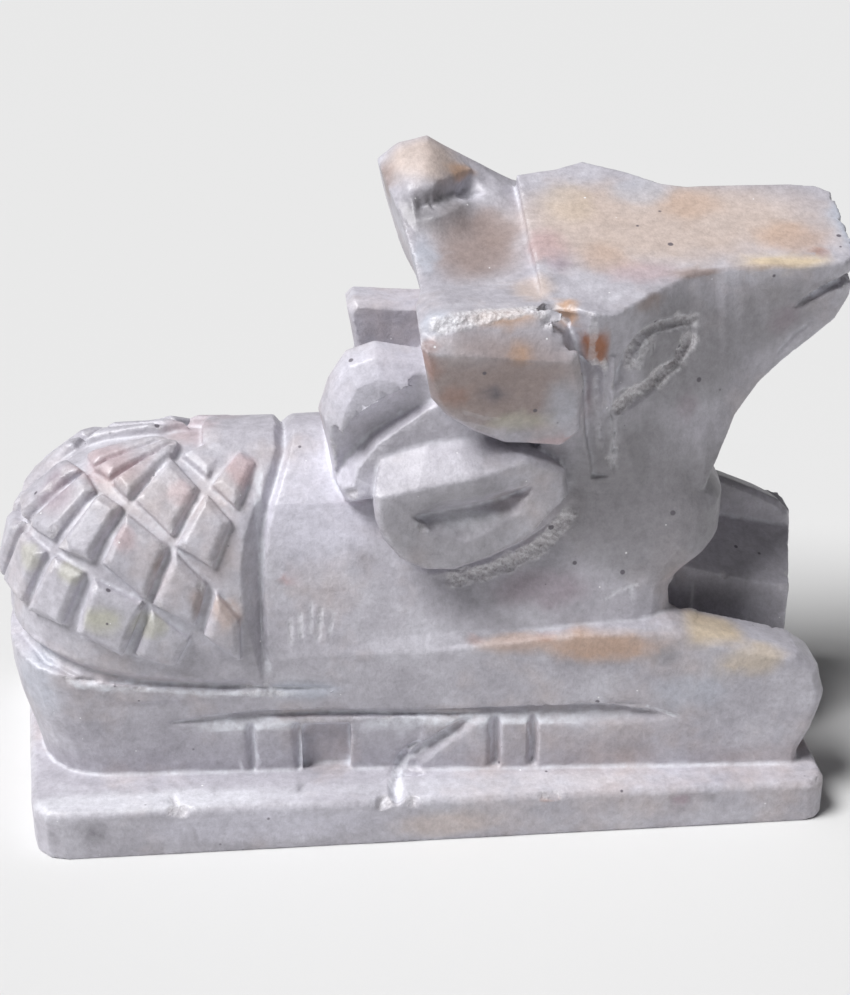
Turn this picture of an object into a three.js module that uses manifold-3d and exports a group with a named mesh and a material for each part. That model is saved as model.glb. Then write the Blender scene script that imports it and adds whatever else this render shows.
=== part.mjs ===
// Nandi, the reclining bull, carved with its plinth from one block of soapstone.
// Millimetres. +X runs towards the head, -Y is the better worked side and +Z is up.
// The origin is the middle of the plinth's underside, which the figure stands on.
import * as THREE from "three";
import { mergeVertices } from "three/addons/utils/BufferGeometryUtils.js";
import Module from "manifold-3d";

const wasm = await Module();
wasm.setup();

const rad = THREE.MathUtils.degToRad;
const lerp = THREE.MathUtils.lerp;

// The plinth: a slab sawn a little out of square and thinner towards the head.
const plinth = {
  tailX: -40.5,
  headX: 40.2,
  width: 36.3,
  skewTail: 3.2,
  skewHead: -0.4,
  thickTail: 5.6,
  thickHead: 4.7,
  corner: 1.5,
  wornCorner: 3.4,
};

// The lower body, from the plinth up to the edge along the flank.
const flank = { z: 20.2, nearTail: 11.9, nearHead: 13.8, tailX: -42.5, headX: 28 };

// The rump under its saddle cloth, as [height, half width, tail end] from the hem to the crown.
const rumpRows = [
  [14.6, 12.4, -42.1],
  [17.0, 12.6, -42.4],
  [20.0, 12.7, -42.4],
  [24.4, 12.6, -42.1],
  [28.6, 11.7, -41.2],
  [31.8, 10.3, -39.7],
  [34.2, 8.5, -37.5],
  [35.9, 6.3, -34.9],
  [37.0, 4.2, -31.6],
  [37.6, 2.2, -27.4],
  [37.8, 0.5, -22.8],
];
const cloth = { frontX: -17.3, crownX: -14.4, straight: 0.22 };

// The cloth's blocks: the slanting rows climb from the front edge, the columns lean back over
// them. Runs go round the rump from the near front corner, climbs go up from the hem.
const clothGrid = {
  firstRow: -4.4,
  rows: 5,
  pitch: 7.3,
  slope: 0.76,
  lean: 0.36,
  columns: [-3.4, 3.6, 9.3, 16.2, 21.8, 27.4, 33.6],
  gap: 1.0,
  height: 1.2,
  floor: 3.4,
  crown: 29.4,
  least: 3.3,
};
const hem = { frontZ: 15.9, rise: 4.9, width: 1.7, depth: 1.1 };

// The back between the cloth and the hump, as [height, half width].
const backRows = [
  [14.0, 12.4],
  [19.0, 12.7],
  [21.5, 12.1],
  [26.0, 10.9],
  [30.0, 10.0],
  [34.0, 8.4],
  [36.6, 6.0],
  [38.4, 3.4],
  [39.0, 1.2],
];
const back = { tailX: -22, headX: 12 };

// The neck and chest, as [height, front edge, half width].
const neckRows = [
  [15.0, 25.6, 13.0],
  [20.4, 25.8, 12.8],
  [24.8, 26.2, 12.0],
  [25.9, 27.4, 11.7],
  [27.2, 29.2, 11.4],
  [28.6, 30.2, 11.2],
  [32.3, 30.4, 10.8],
  [34.4, 29.0, 10.4],
  [38.2, 28.6, 9.4],
  [41.4, 27.4, 8.2],
  [45.2, 26.0, 6.6],
];
const neck = { tailX: -14, tailTopX: -1, rear: 16, nose: 7, swell: 1.2 };

// The forelegs, folded forward along the plinth, as side outlines of [along, height].
const nearLegOutline = [
  [-2, 3],
  [-2, 19.4],
  [14, 21.2],
  [23.7, 21.6],
  [27.2, 20.5],
  [32.6, 19.0],
  [37.2, 17.6],
  [39.4, 15.8],
  [40.3, 12.6],
  [39.3, 8.6],
  [38.2, 5.9],
  [38.1, 3],
];
const farLegOutline = [
  [18, 3],
  [18, 31.5],
  [30.4, 29.4],
  [33.2, 28.2],
  [36.9, 26.5],
  [39.0, 25.3],
  [40.1, 24.0],
  [40.4, 22.4],
  [40.2, 21.2],
  [39.7, 20.2],
  [39.8, 17.0],
  [40.2, 12.0],
  [40.1, 3],
];

// Between the forelegs a sloping web falls from the far leg to the slot behind the near one.
const legWeb = { highY: 6, highZ: 26.6, lowY: -4.5, lowZ: 22.7, fall: 0.25, headX: 39.5, slotX: 25.2 };

// The hump's two lobes, as side outlines of [along, height].
const nearHumpOutline = [
  [-10.5, 43.6],
  [-9.5, 46.7],
  [-7.7, 49.4],
  [-5.0, 50.3],
  [-1.0, 49.5],
  [7, 48.4],
  [7, 38],
  [-2, 34],
  [-5.4, 34.4],
  [-8.2, 34.0],
  [-9.1, 36.0],
  [-9.6, 39.6],
];
const farHumpOutline = [
  [-7.0, 49.4],
  [-6.3, 50.2],
  [-1.4, 49.8],
  [7, 49.4],
  [7, 36],
  [-6.2, 36],
  [-7.2, 40],
  [-6.2, 44.0],
];

// The collar fold: a raised crescent on the side of the neck.
const collarArc = [
  [-5.6, 37.4],
  [-5.5, 34.8],
  [-4.8, 32.6],
  [-3.2, 30.4],
  [-0.8, 29.1],
  [2.1, 28.9],
  [5.5, 29.8],
  [8.4, 31.0],
  [10.9, 32.7],
  [13.4, 35.4],
];
const collarTop = [
  [13.0, 38.2],
  [9.0, 40.2],
  [4.0, 39.2],
  [-1.3, 38.4],
];
const collarLens = [
  [-2.2, 35.0],
  [0.0, 36.3],
  [4.8, 36.8],
  [10.0, 37.3],
  [9.4, 36.0],
  [8.3, 33.9],
  [3.3, 32.0],
  [0.4, 32.8],
];

// The folded legs along the lower flank: one long undercut as [along, upper edge, lower edge,
// depth], upright notches as [along, width, depth] and a shelf cut back between two of them.
const longCut = [
  [-26.6, 11.9, 11.6, 0.2],
  [-22.4, 12.6, 10.7, 0.9],
  [-17.4, 13.0, 10.4, 1.1],
  [-12.4, 12.9, 11.4, 1.0],
  [-7.3, 12.7, 11.5, 0.8],
  [-2.2, 12.5, 11.5, 0.8],
  [2.8, 12.5, 10.9, 1.0],
  [7.9, 12.5, 10.6, 1.3],
  [13.9, 12.6, 10.1, 1.5],
  [19.0, 12.4, 9.9, 1.4],
  [22.1, 11.8, 10.1, 1.0],
  [24.9, 10.8, 10.5, 0.2],
];
const notches = [
  [-17.9, 2.4, 1.0],
  [-13.3, 2.0, 1.1],
  [6.9, 2.2, 1.1],
  [10.7, 1.7, 1.0],
];
const shelf = { from: -13.2, to: -8.2, top: 11.5, step: 10.3, foot: 5.3, depth: 1.7 };
const notchHeights = { foot: 5.3, top: 11.3 };

// The head is carved on a frame of its own, rolled so that the near side hangs lower.
const headSeat = { x: 17, y: -0.5, z: 57.7, roll: 15.5 };

// The face from brow to muzzle, as [along, near half width at the brow, near half width at the
// jaw, far half width at the brow, far half width at the jaw, jaw depth].
const faceRows = [
  [-6.4, 12.4, 14.2, 11.6, 6.0, 22.0],
  [-2.4, 13.0, 15.0, 12.4, 6.4, 22.0],
  [0.6, 12.0, 15.4, 13.7, 6.8, 22.0],
  [4.4, 9.2, 15.4, 11.8, 7.0, 22.0],
  [8.0, 6.8, 15.2, 9.2, 7.0, 22.0],
  [10.4, 6.0, 14.4, 8.6, 6.8, 21.6],
  [11.8, 5.9, 12.4, 8.7, 6.6, 19.4],
  [13.6, 5.8, 9.8, 8.7, 6.4, 15.8],
  [16.2, 5.8, 7.6, 8.7, 6.4, 13.4],
  [18.6, 5.7, 6.5, 8.6, 6.4, 11.4],
  [21.0, 5.6, 5.9, 8.5, 6.4, 9.4],
  [23.4, 5.3, 5.3, 8.1, 6.2, 7.2],
  [24.8, 4.2, 4.2, 6.9, 5.0, 5.2],
];

// The eye's upper and lower grooves and the mouth, as [along, down] on the side of the face.
const eyeUpper = [[0.4, -8.4], [1.0, -6.4], [1.7, -4.6], [2.9, -3.5], [4.6, -3.3], [7.3, -3.9],
  [9.9, -4.3]];
const eyeLower = [[8.7, -4.6], [8.3, -5.9], [7.2, -7.4], [5.4, -8.8], [3.2, -9.9], [0.3, -10.9]];
const mouth = [[18.8, -4.8], [20.2, -4.1], [21.6, -3.2], [22.9, -2.6], [24.3, -2.5]];

// The ear's outer face in the head's frame, as [along, up].
const earOutline = [
  [-18.3, -0.6],
  [-17.2, -7.0],
  [-15.6, -9.2],
  [-13.2, -11.0],
  [-10.0, -12.7],
  [-4.4, -13.2],
  [-2.8, -11.4],
  [-2.9, -5.6],
  [-3.8, -2.2],
  [-8.5, -1.5],
  [-13.0, -1.0],
];

// The bar across the crown, scooped between the near ear and the far horn:
// [across, tail end, its height, then the heights at the rear, middle and front].
const crownRows = [
  [-15.4, -17.6, -1.4, -1.0, -1.4, -1.9],
  [-12.9, -18.3, -0.4, 1.1, 0.9, 1.1],
  [-9.0, -18.2, -1.0, 0.0, -0.3, -0.2],
  [-5.5, -17.5, -1.6, -1.1, -1.2, -1.0],
  [-1.5, -17.6, -1.6, -1.5, -1.6, -1.3],
  [2.5, -18.2, -0.8, -1.0, -1.6, -1.3],
  [5.0, -18.7, -0.1, 1.3, -1.4, -1.3],
  [7.0, -19.2, 0.5, 2.5, -0.6, -1.4],
  [10.0, -19.9, 1.0, 3.4, 0.4, -1.5],
  [13.0, -20.4, 1.2, 3.7, 0.9, -1.8],
  [14.4, -19.7, 0.4, 2.7, 0.0, -2.6],
];
const crown = { rearX: -15.4, middleX: -11, frontX: -6.4, headX: -4.6, bottom: -9 };

function flipped(faces) {
  return faces.map(([a, b, c]) => [a, c, b]);
}

function signedVolume(points, faces) {
  let sum = 0;
  for (const [a, b, c] of faces) {
    const [p, q, r] = [points[a], points[b], points[c]];
    sum += p[0] * (q[1] * r[2] - q[2] * r[1]);
    sum += p[1] * (q[2] * r[0] - q[0] * r[2]);
    sum += p[2] * (q[0] * r[1] - q[1] * r[0]);
  }
  return sum;
}

function solid(points, faces) {
  const outward = signedVolume(points, faces) < 0 ? flipped(faces) : faces;
  const mesh = new wasm.Mesh({
    numProp: 3,
    vertProperties: Float32Array.from(points.flat()),
    triVerts: Uint32Array.from(outward.flat()),
  });
  return new wasm.Manifold(mesh);
}

// A closed skin over rings that all have the same number of points.
function loft(rings) {
  const count = rings[0].length;
  const points = rings.flat();
  const faces = [];
  for (let r = 0; r + 1 < rings.length; r++) {
    for (let i = 0; i < count; i++) {
      const a = r * count + i;
      const b = r * count + ((i + 1) % count);
      faces.push([a, b, b + count], [a, b + count, a + count]);
    }
  }
  for (const [ring, turn] of [[0, true], [rings.length - 1, false]]) {
    const centre = [0, 1, 2].map((k) => rings[ring].reduce((s, p) => s + p[k], 0) / count);
    points.push(centre);
    for (let i = 0; i < count; i++) {
      const a = ring * count + i;
      const b = ring * count + ((i + 1) % count);
      faces.push(turn ? [b, a, points.length - 1] : [a, b, points.length - 1]);
    }
  }
  return solid(points, faces);
}

// A groove cut along a path: a wedge whose floor lies below the path and whose mouth is open.
// outs is one direction for the whole path or one for each of its points.
function groove(path, width, depth, outs, lean = 0) {
  const pts = path.map((p) => new THREE.Vector3(...p));
  const lift = 1.2;
  const rings = pts.map((p, i) => {
    const n = new THREE.Vector3(...(Array.isArray(outs[0]) ? outs[i] : outs)).normalize();
    const run = pts[Math.min(i + 1, pts.length - 1)].clone().sub(pts[Math.max(i - 1, 0)]);
    const side = run.cross(n).normalize();
    const fade = i === 0 || i === pts.length - 1 ? 0.35 : 1;
    const flare = (width / 2) * fade ** 0.5 * (1 + lift / (depth * fade));
    const floor = p.clone().addScaledVector(n, -depth * fade).addScaledVector(side, lean * width);
    const left = p.clone().addScaledVector(side, -flare).addScaledVector(n, lift);
    const right = p.clone().addScaledVector(side, flare).addScaledVector(n, lift);
    return [floor, left, right].map((v) => v.toArray());
  });
  return loft(rings);
}

function lookUp(rows, value, column, key = 0) {
  const last = rows.length - 1;
  let i = 0;
  while (i < last - 1 && value > rows[i + 1][key]) i++;
  const t = (value - rows[i][key]) / (rows[i + 1][key] - rows[i][key]);
  return lerp(rows[i][column], rows[i + 1][column], THREE.MathUtils.clamp(t, 0, 1));
}

// A level outline with two rounded ends and straight sides, the sides spreading towards +X.
function planRing(z, left, right, halfWidth, noseLeft, noseRight, power = 2.6, spread = 0) {
  const count = 28;
  return Array.from({ length: count }, (_, i) => {
    const turn = ((i + 0.5) / count) * Math.PI * 2;
    const c = Math.cos(turn);
    const s = Math.sin(turn);
    const reach = 1 - Math.abs(c) ** (2 / power);
    const x = c >= 0 ? right - noseRight * reach : left + noseLeft * reach;
    const w = halfWidth + spread * (x - left);
    return [x, Math.sign(s) * w * Math.abs(s) ** (2 / power), z];
  });
}

function makePlinth() {
  const half = plinth.width / 2;
  const corners = [
    [plinth.tailX, -half, plinth.wornCorner, plinth.thickTail],
    [plinth.headX, -half, plinth.corner * 1.3, plinth.thickHead],
    [plinth.headX + plinth.skewHead, half, plinth.corner, plinth.thickHead],
    [plinth.tailX - plinth.skewTail, half, plinth.corner, plinth.thickTail],
  ];
  const ring = (inset, level) => corners.flatMap(([x, y, r, thick], k) => {
    const sx = Math.sign(x);
    const sy = Math.sign(y);
    const cx = x - sx * (r + inset);
    const cy = y - sy * (r + inset);
    return [0, 1, 2, 3].map((step) => {
      const turn = rad(180 + 90 * k + step * 30);
      const z = level === 0 ? 0 : level === 1 ? 0.4 : thick - (3 - level) * 0.5;
      return [cx + r * Math.cos(turn), cy + r * Math.sin(turn), z];
    });
  });
  return loft([ring(0.12, 0), ring(0, 1), ring(0, 2), ring(0.45, 3)]);
}

// How far the near side stands out at a station along the flank.
function sideAt(x) {
  const t = (x - flank.tailX) / (flank.headX - flank.tailX);
  return lerp(flank.nearTail, flank.nearHead, t);
}

// The lower body, set in under the rump at the tail and standing straight along the flank.
function makeFlank() {
  const rows = [
    [3.0, 2.8, 0.6],
    [8.6, 1.5, 0.2],
    [12.6, 0.6, 0],
    [16.2, 0.1, 0],
    [flank.z - 1, 0, 0],
    [flank.z + 0.6, 0.6, 0.7],
  ];
  const spread = (flank.nearHead - flank.nearTail) / (flank.headX - flank.tailX);
  return loft(rows.map(([z, inset, slim]) => planRing(
    z, flank.tailX + inset, flank.headX, flank.nearTail - slim, 9, 4, 2.8, spread)));
}

// The cloth's front edge leans towards the head as it climbs to the crown.
function clothFront(z) {
  const climb = THREE.MathUtils.clamp((z - 28) / 10, 0, 1);
  return lerp(cloth.frontX, cloth.crownX, climb * climb);
}

function rumpPoint(along, z, lift = 0) {
  const w = lookUp(rumpRows, z, 1) + lift;
  const tail = lookUp(rumpRows, z, 2) - lift;
  const nose = Math.min(0.8 * w + 3.2, cloth.frontX - tail);
  const side = cloth.straight;
  const far = along > 0.5;
  const a = far ? 1 - along : along;
  let x = tail + nose;
  let y = w;
  if (a < side) {
    x = lerp(clothFront(z), tail + nose, a / side);
  } else {
    const turn = ((a - side) / (0.5 - side)) * Math.PI * 0.5;
    x = tail + nose * (1 - Math.sin(turn) ** (2 / 2.4));
    y = w * Math.max(Math.cos(turn), 0) ** (2 / 2.4);
  }
  return [x, far ? y : -y, z];
}

// Lengths along a run of points, and the position reached after a given length.
function measure(points) {
  const lengths = [0];
  for (let i = 1; i < points.length; i++) {
    const [a, b] = [points[i - 1], points[i]];
    lengths.push(lengths[i - 1] + Math.hypot(a[0] - b[0], a[1] - b[1], a[2] - b[2]));
  }
  return lengths;
}

function reached(lengths, length) {
  const i = Math.min(Math.max(lengths.findIndex((l) => l > length), 1), lengths.length - 1);
  const t = (length - lengths[i - 1]) / (lengths[i] - lengths[i - 1]);
  return (i - 1 + THREE.MathUtils.clamp(t, 0, 1)) / (lengths.length - 1);
}

const rimSteps = Array.from({ length: 201 }, (_, i) => rumpPoint(i / 200, 20));
const rim = measure(rimSteps);
const climbSteps = Array.from({ length: 201 }, (_, i) => rumpPoint(0.1, lerp(15, 37.7, i / 200)));
const climb = measure(climbSteps);

// A point on the rump by its run from the near front corner and its climb from the hem.
function onRump(run, up, lift) {
  const along = reached(rim, THREE.MathUtils.clamp(run, 0, rim[rim.length - 1]));
  const z = lerp(15, 37.7, reached(climb, up));
  const p = new THREE.Vector3(...rumpPoint(along, z));
  const step = 0.004;
  const u = new THREE.Vector3(...rumpPoint(Math.min(along + step, 1), z))
    .sub(new THREE.Vector3(...rumpPoint(Math.max(along - step, 0), z)));
  const v = new THREE.Vector3(...rumpPoint(along, Math.min(z + 0.4, 37.7)))
    .sub(new THREE.Vector3(...rumpPoint(along, z - 0.4)));
  const out = v.cross(u).normalize();
  return p.addScaledVector(out, lift).toArray();
}

// The saddle cloth's diamond blocks, left standing between two slanting families of grooves.
function clothCorner(k, column, middle) {
  const slantRun = (run) => Math.min(run, 15) + 0.3 * THREE.MathUtils.clamp(run - 15, 0, 9);
  let run = column;
  let up = 0;
  for (let turn = 0; turn < 6; turn++) {
    up = clothGrid.firstRow + clothGrid.pitch * k + clothGrid.slope * slantRun(run);
    run = Math.min(column - clothGrid.lean * (up - 14), middle);
  }
  return [run, up];
}

// A corner pulled in so that both of its sides move by the same amount.
function inward(corners, amount) {
  const count = corners.length;
  const unit = (a, b) => {
    const d = Math.hypot(b[0] - a[0], b[1] - a[1]) || 1;
    return [(b[0] - a[0]) / d, (b[1] - a[1]) / d];
  };
  return corners.map((c, i) => {
    const to = unit(c, corners[(i + 1) % count]);
    const from = unit(c, corners[(i + count - 1) % count]);
    const sine = Math.max(Math.abs(to[0] * from[1] - to[1] * from[0]), 0.5);
    return [0, 1].map((k) => c[k] + ((to[k] + from[k]) * amount) / sine);
  });
}

// One block: steep sides, a worn edge and a slightly domed, polished top.
function makeBlock(corners, wobble, far) {
  const { gap, height } = clothGrid;
  const end = rim[rim.length - 1];
  const place = (ring, lift) => ring.map(([run, up]) => onRump(far ? end - run : run, up, lift));
  const loose = corners.map(([run, up], i) => [run + wobble[i], up - wobble[(i + 2) % 4]]);
  const middle = loose.reduce((sum, c) => sum + c[1], 0) / 4;
  const worn = THREE.MathUtils.clamp((middle - 18) / 10, 0, 1);
  const tall = height * (1 - 0.15 * worn) + wobble[0] * 0.5;
  return loft([
    place(inward(loose, gap * 0.25), -1),
    place(inward(loose, gap * 0.6), tall * 0.7),
    place(inward(loose, gap * 1.25), tall),
  ]);
}

// How wide a block is across its narrow way.
function girth(corners) {
  const side = corners.map(([u, v], i) => {
    const [p, q] = corners[(i + 1) % corners.length];
    return [Math.hypot(p - u, q - v), (u * q - p * v) / 2];
  });
  const area = Math.abs(side.reduce((sum, [, part]) => sum + part, 0));
  return area / Math.max(...side.map(([length]) => length));
}

function makeBlocks() {
  const middle = rim[rim.length - 1] / 2;
  const { columns, rows, floor, crown: top } = clothGrid;
  const blocks = [];
  for (const far of [false, true]) {
    for (let k = 0; k < rows; k++) {
      for (let j = 0; j + 1 < columns.length; j++) {
        const corners = [
          clothCorner(k, columns[j], middle),
          clothCorner(k, columns[j + 1], middle),
          clothCorner(k + 1, columns[j + 1], middle),
          clothCorner(k + 1, columns[j], middle),
        ].map(([run, up]) => [
          THREE.MathUtils.clamp(run, 0.9, middle),
          THREE.MathUtils.clamp(up, floor, top),
        ]);
        if (girth(corners) < clothGrid.least) continue;
        const phase = 7.3 * k + 4.1 * j + (far ? 3 : 0);
        const wobble = [0, 1, 2, 3].map((i) => 0.3 * Math.sin(phase + 2.7 * i));
        blocks.push(makeBlock(corners, wobble, far));
      }
    }
  }
  return blocks;
}

// The groove under the cloth's hem, rising towards the tail and running right round.
function cutHem() {
  const end = rim[rim.length - 1];
  const path = [];
  const outs = [];
  for (let i = 0; i <= 26; i++) {
    const run = lerp(0.2, end - 0.2, i / 26);
    const fromSide = Math.min(run, end - run);
    const along = reached(rim, run);
    const z = hem.frontZ + (hem.rise / 2) * (1 - Math.cos((2 * Math.PI * fromSide) / end));
    const p = rumpPoint(along, z);
    const q = rumpPoint(along, z, 1);
    path.push(p);
    outs.push([q[0] - p[0], q[1] - p[1], 0.15]);
  }
  return groove(path, hem.width, hem.depth, outs, -0.22);
}

// The groove in front of the cloth, over the back from side to side.
function cutClothEdge() {
  const rows = [16.4, 20, 24, 28, 31.5, 34.4, 36.8, 38.2];
  const near = rows.map((z) => [clothFront(z) + 0.5, -lookUp(backRows, z, 1) - 0.2, z]);
  const far = near.map(([x, y, z]) => [x, -y, z]).reverse();
  const path = [...near, [cloth.crownX + 0.6, 0, 39.1], ...far];
  const outs = path.map(([, y, z]) => [0, y, Math.max(z - 24, 0) * 0.9]);
  return groove(path, 1.7, 1.1, outs);
}

function makeRump() {
  const steps = [];
  for (let i = 0; i <= 3; i++) steps.push((0.22 * i) / 3);
  for (let i = 1; i <= 14; i++) steps.push(0.22 + (0.56 * i) / 14);
  for (let i = 1; i <= 3; i++) steps.push(0.78 + (0.22 * i) / 3);
  return loft(rumpRows.map(([z]) => steps.map((along) => rumpPoint(along, z))));
}

function makeBack() {
  return loft(backRows.map(([z, w]) => planRing(z, back.tailX, back.headX, w, 2, 4, 3)));
}

function makeNeck() {
  const top = neckRows[neckRows.length - 1][0];
  return loft(neckRows.map(([z, front, w]) => {
    const tail = lerp(neck.tailX, neck.tailTopX, (z - 15) / (top - 15));
    const spread = neck.swell / (front - tail);
    return planRing(z, tail, front, w - neck.swell, neck.rear, neck.nose, 2.8, spread);
  }));
}

function headPlace() {
  const place = new THREE.Matrix4().makeRotationX(rad(headSeat.roll));
  place.setPosition(headSeat.x, headSeat.y, headSeat.z);
  return (x, y, z) => new THREE.Vector3(x, y, z).applyMatrix4(place).toArray();
}
const inHead = headPlace();

function makeFace() {
  const edge = 0.35;
  return loft(faceRows.map(([x, near, nearJaw, far, farJaw, depth]) => [
    [-near + edge, 0],
    [-near, -edge],
    [-lerp(near, nearJaw, 0.5), -depth * 0.5],
    [-nearJaw, -depth * 0.94],
    [-nearJaw + 1, -depth],
    [farJaw - 2, -depth],
    [farJaw, -depth * 0.92],
    [lerp(far, farJaw, 0.4), -depth * 0.5],
    [far, -edge],
    [far - edge, 0],
  ].map(([y, z]) => inHead(x, y, z))));
}

// A point on the side of the face; side is -1 for the near side.
function onCheek(x, z, side) {
  const depth = lookUp(faceRows, x, 5);
  const down = THREE.MathUtils.clamp(-z / depth / 0.94, 0, 1);
  const column = side < 0 ? 1 : 3;
  const y = lerp(lookUp(faceRows, x, column), lookUp(faceRows, x, column + 1), down);
  return [x, side * y, z];
}

// A direction in the head's frame, turned with the head.
function turned([x, y, z]) {
  const roll = rad(headSeat.roll);
  return [x, y * Math.cos(roll) - z * Math.sin(roll), y * Math.sin(roll) + z * Math.cos(roll)];
}

function cutEye(side, width, depth) {
  const out = turned([0.4, side * 0.9, 0.1]);
  const carve = (path) => groove(
    path.map(([x, z]) => inHead(...onCheek(x, z, side))), width, depth, out);
  return [carve(eyeUpper), carve(eyeLower)];
}

// The mouth runs back along both sides from the front of the muzzle.
function cutMouth() {
  const near = mouth.map(([x, z]) => onCheek(x, z, -1));
  const far = mouth.map(([x, z]) => onCheek(x, z, 1)).reverse();
  const path = [...near, [24.8, 0, -2.3], ...far.slice(0, 3)];
  const outs = path.map(([x, y]) => turned([x > 23.5 ? 0.9 : 0.1, x > 24.5 ? 0 : Math.sign(y), 0]));
  return groove(path.map((p) => inHead(...p)), 1.1, 0.9, outs);
}

function shrunk(outline, amount) {
  const cx = outline.reduce((s, p) => s + p[0], 0) / outline.length;
  const cz = outline.reduce((s, p) => s + p[1], 0) / outline.length;
  return outline.map(([x, z]) => {
    const d = Math.hypot(x - cx, z - cz);
    const k = (d - amount) / d;
    return [cx + (x - cx) * k, cz + (z - cz) * k];
  });
}

// An ear or horn: the outline at its full size, drawn in at the outer face.
function makeEar(rows, drop = 0) {
  return loft(rows.map(([y, inset]) => (
    shrunk(earOutline, inset).map(([x, z]) => inHead(x, y, z - drop)))));
}

function makeCrown() {
  return loft(crownRows.map(([y, tail, tailZ, rear, middle, front]) => [
    [tail + 2.4, crown.bottom],
    [crown.headX, crown.bottom],
    [crown.headX, front - 0.6],
    [crown.frontX, front],
    [crown.middleX, middle],
    [crown.rearX, rear],
    [lerp(tail, crown.rearX, 0.4), lerp(tailZ, rear, 0.7)],
    [tail, tailZ],
    [tail + 0.7, tailZ - 3.6],
  ].map(([x, z]) => inHead(x, y, z))));
}

// A side outline carried across by rows of [across, inset, lift].
function makeSlice(outline, rows) {
  return loft(rows.map(([y, inset, lift = 0]) => (
    shrunk(outline, inset).map(([x, z]) => [x, y, z + lift]))));
}

// The near foreleg keeps to the spreading line of the flank.
function makeNearLeg() {
  const rows = [[0, 1.1], [-0.5, 0.4], [-1.6, 0], [-6.2, 0.2]];
  return loft(rows.map(([proud, inset]) => shrunk(nearLegOutline, inset).map(([x, z]) => {
    const swell = 0.5 * THREE.MathUtils.clamp((x - 2) / 20, -0.3, 1);
    return [x, -(sideAt(x) + proud + swell), z];
  })));
}

function makeLegWeb() {
  const { highY, highZ, lowY, lowZ, fall, headX, slotX } = legWeb;
  const slice = (x, skew) => {
    const drop = (x - 28) * fall;
    return [
      [x + skew, highY + 4, 3],
      [x + skew, highY + 4, highZ - drop],
      [x + skew, highY, highZ - drop],
      [x - skew, lowY, lowZ - drop],
      [x - skew, lowY, 3],
    ];
  };
  return loft([slice(slotX - 8, 0), slice(slotX, 0), slice(headX, 1.2)]);
}

// The crescent's face turns in towards the neck and runs out into it.
function collarLean(x) {
  return 2.3 * (Math.max(x, 0) / 13) ** 2;
}

// The crescent stands proud of the neck; its top slopes up and in under the ear.
function makeCollar(side) {
  const rows = [
    [14.2, 0.5, 0],
    [13.7, 0, 0],
    [10.4, 0, 2.6],
    [6.6, 0.3, 4.4],
    [4, 0.3, 4.6],
  ];
  const climb = [0.1, 0.4, 0.9, 1, 0.85];
  const slide = [-0.4, -0.4, 0, 0.4, 0.3];
  return loft(rows.map(([y, inset, rise]) => {
    const top = [...collarTop, collarArc[0]].map(([x, z], i) => [
      x + rise * slide[i],
      z + rise * climb[i],
    ]);
    return shrunk([...top, ...collarArc.slice(1)], inset).map(([x, z]) => [
      x, side * (y - collarLean(x)), z]);
  }));
}

// A lens sunk into the crescent: a steep upper wall and a floor that slopes out.
function lensCut() {
  const ring = (y, fold) => collarLens.map(([x, z]) => {
    const deepest = 34.4 + 0.12 * x;
    return [lerp(x, 3.8, fold * 0.2), y + collarLean(x), lerp(z, deepest, fold)];
  });
  return loft([ring(-16, 0), ring(-13.9, 0), ring(-12.2, 0.86)]);
}

// A wedge-shaped undercut: the deep line sits just under its upper edge.
function cutLong(side) {
  return loft(longCut.map(([x, top, low, depth]) => {
    const face = sideAt(x) + (x > 2 && side < 0 ? 0.5 * Math.min((x - 2) / 20, 1) : 0);
    const slope = (top - low) / depth;
    return [
      [x, side * (face + 1), top + 0.25],
      [x, side * (face - depth), lerp(top, low, 0.12)],
      [x, side * (face + 1), low - slope],
    ];
  }));
}

function cutNotch([x, width, depth]) {
  const ring = (z) => [
    [x - width, -sideAt(x) - 0.8, z],
    [x - 0.2, -sideAt(x) + depth, z],
    [x + 0.55, -sideAt(x) - 0.8, z],
  ];
  return loft([ring(notchHeights.foot), ring(notchHeights.top)]);
}

function cutShelf() {
  const { from, to, top, step, foot, depth } = shelf;
  const ring = (x) => [
    [x, -sideAt(x) - 1, top + 0.4],
    [x, -sideAt(x) + depth * 0.85, step],
    [x, -sideAt(x) + depth, foot],
    [x, -sideAt(x) - 1, foot],
  ];
  return loft([ring(from), ring(to)]);
}

// The forked groove between the hooves, which runs out over the plinth's ledge.
function cutFork() {
  const out = [0, -1, -0.1];
  return [
    groove([[-4.2, -18.6, 4.9], [-3.9, -16.3, 5.3], [-3.6, -13.2, 5.4]], 1.9, 0.9, [0, -0.15, 1]),
    groove([[-3.7, -12.6, 4.9], [-3.1, -12.7, 6.4], [-2.2, -12.8, 7.4]], 1.7, 1.0, out),
    groove([[-3.0, -12.7, 6.0], [0, -13.0, 8.2], [2.6, -13.2, 10.1], [5.8, -13.4, 11.9]], 2.0, 1.1, out),
    groove([[-3.1, -12.7, 7.4], [-2.0, -12.8, 8.0], [-0.4, -12.9, 8.3]], 0.9, 0.7, out),
  ];
}

// The slot behind the near foreleg, open above the leg and deep beside it.
function cutSlot() {
  const leg = [[37.2, 17.6], [32.6, 19.0], [27.2, 20.5], [24.4, 21.3]];
  const roof = [[24.0, 23.9], [26.0, 25.2], [31, 25.2], [42, 24.0]];
  const ring = (y, sink) => [
    [42, y, 15.9 - sink],
    ...leg.map(([x, z]) => [x, y, z - sink]),
    ...roof.map(([x, z]) => [x, y, z]),
  ];
  return loft([ring(-16, -0.05), ring(-8.9, -0.05), ring(-8.2, 6), ring(-4.7, 6)]);
}

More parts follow.
